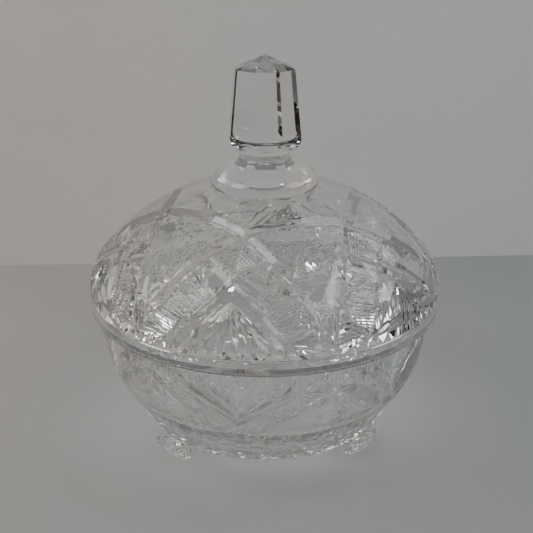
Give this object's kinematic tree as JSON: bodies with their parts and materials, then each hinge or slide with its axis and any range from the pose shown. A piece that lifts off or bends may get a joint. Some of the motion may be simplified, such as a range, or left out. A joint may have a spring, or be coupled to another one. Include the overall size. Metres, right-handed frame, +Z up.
{
  "type": "covered candy dish",
  "caption": "Clear glass candy dish: a bowl on small scroll feet under a loose domed lid, with a faceted knob on the lid.",
  "frame": {"origin": "on the dish's axis, at the table that the feet stand on", "axes": "+Z up along the dish's axis; -Y is the front, between the left and right feet"},
  "size_m": [0.1524, 0.1524, 0.1735],
  "materials": {
    "bowl_glass": "clear pressed glass, cut pattern",
    "foot_glass": "clear fire-polished glass, ribbed",
    "lid_glass": "clear pressed glass, cut pattern",
    "knob_glass": "clear glass, polished flat faces"
  },
  "bodies": {
    "bowl_body": {"bowl": "bowl_glass", "left_foot": "foot_glass", "right_foot": "foot_glass", "rear_foot": "foot_glass"},
    "lid_body": {"lid": "lid_glass", "knob": "knob_glass"}
  },
  "joints": [
    {"name": "lid_lift", "type": "slide", "parent": "bowl_body", "child": "lid_body", "axis": [0, 0, 1], "range_m": [0, 0.12]}
  ]
}
